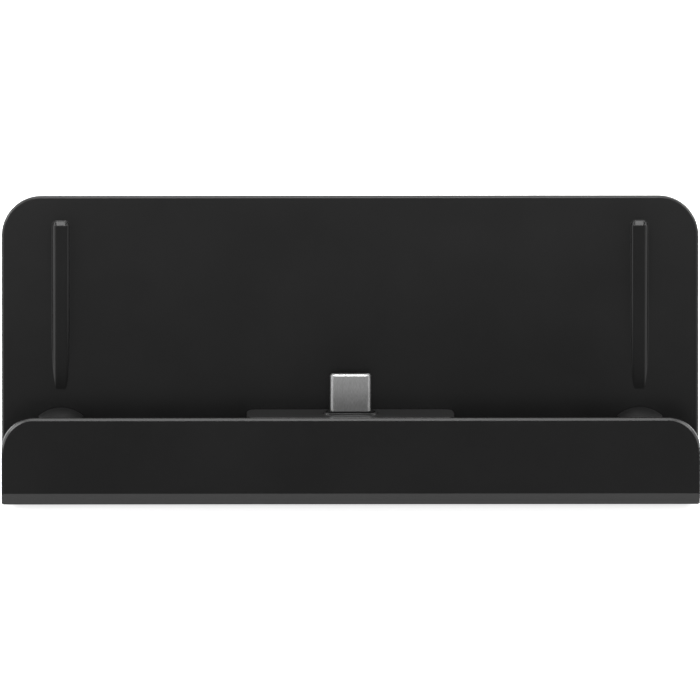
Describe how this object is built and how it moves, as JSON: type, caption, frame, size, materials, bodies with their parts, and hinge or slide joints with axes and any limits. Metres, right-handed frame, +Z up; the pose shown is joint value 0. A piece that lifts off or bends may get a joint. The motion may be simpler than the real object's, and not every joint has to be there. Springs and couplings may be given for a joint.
{
  "type": "charging dock",
  "caption": "Desk charging dock for a handheld console: a bent trough with a low front lip, an upright USB-C plug, and a leaning back plate with tapering ribs.",
  "frame": {"origin": "on the table, under the middle of the dock's outline", "axes": "+X to the dock's right as seen from its front, +Y to the rear, +Z up"},
  "size_m": [0.14, 0.062, 0.0556],
  "materials": {
    "shell_plastic": "satin black moulded plastic",
    "cover_plastic": "fine-grained black moulded plastic",
    "platform_plastic": "satin black moulded plastic",
    "pad_rubber": "soft black rubber",
    "foot_rubber": "matte black rubber",
    "plug_steel": "satin drawn steel",
    "insulator_plastic": "black moulded insulator",
    "contact_plating": "gold-plated copper alloy",
    "screw_steel": "zinc-plated steel",
    "board_laminate": "green solder mask on glass laminate",
    "chip_plastic": "black epoxy package",
    "capacitor_ceramic": "tan ceramic",
    "ribbon_film": "amber film ribbon"
  },
  "bodies": {
    "root": {"upper_shell": "shell_plastic", "bottom_cover": "cover_plastic", "foot_front_left": "foot_rubber", "foot_front_right": "foot_rubber", "foot_rear_left": "foot_rubber", "foot_rear_right": "foot_rubber", "cover_screws": "screw_steel", "plug_platform": "platform_plastic", "plug_shell": "plug_steel", "plug_insulator": "insulator_plastic", "plug_contacts": "contact_plating", "plug_holder": "insulator_plastic", "plug_board": "board_laminate", "plug_board_screws": "screw_steel", "main_board": "board_laminate", "main_board_screws": "screw_steel", "inlet_shell": "plug_steel", "inlet_tongue": "insulator_plastic", "inlet_contacts": "contact_plating", "controller_chip": "chip_plastic", "capacitors": "capacitor_ceramic", "board_ribbon": "ribbon_film", "rest_pad_left": "pad_rubber", "rest_pad_right": "pad_rubber"}
  },
  "joints": []
}
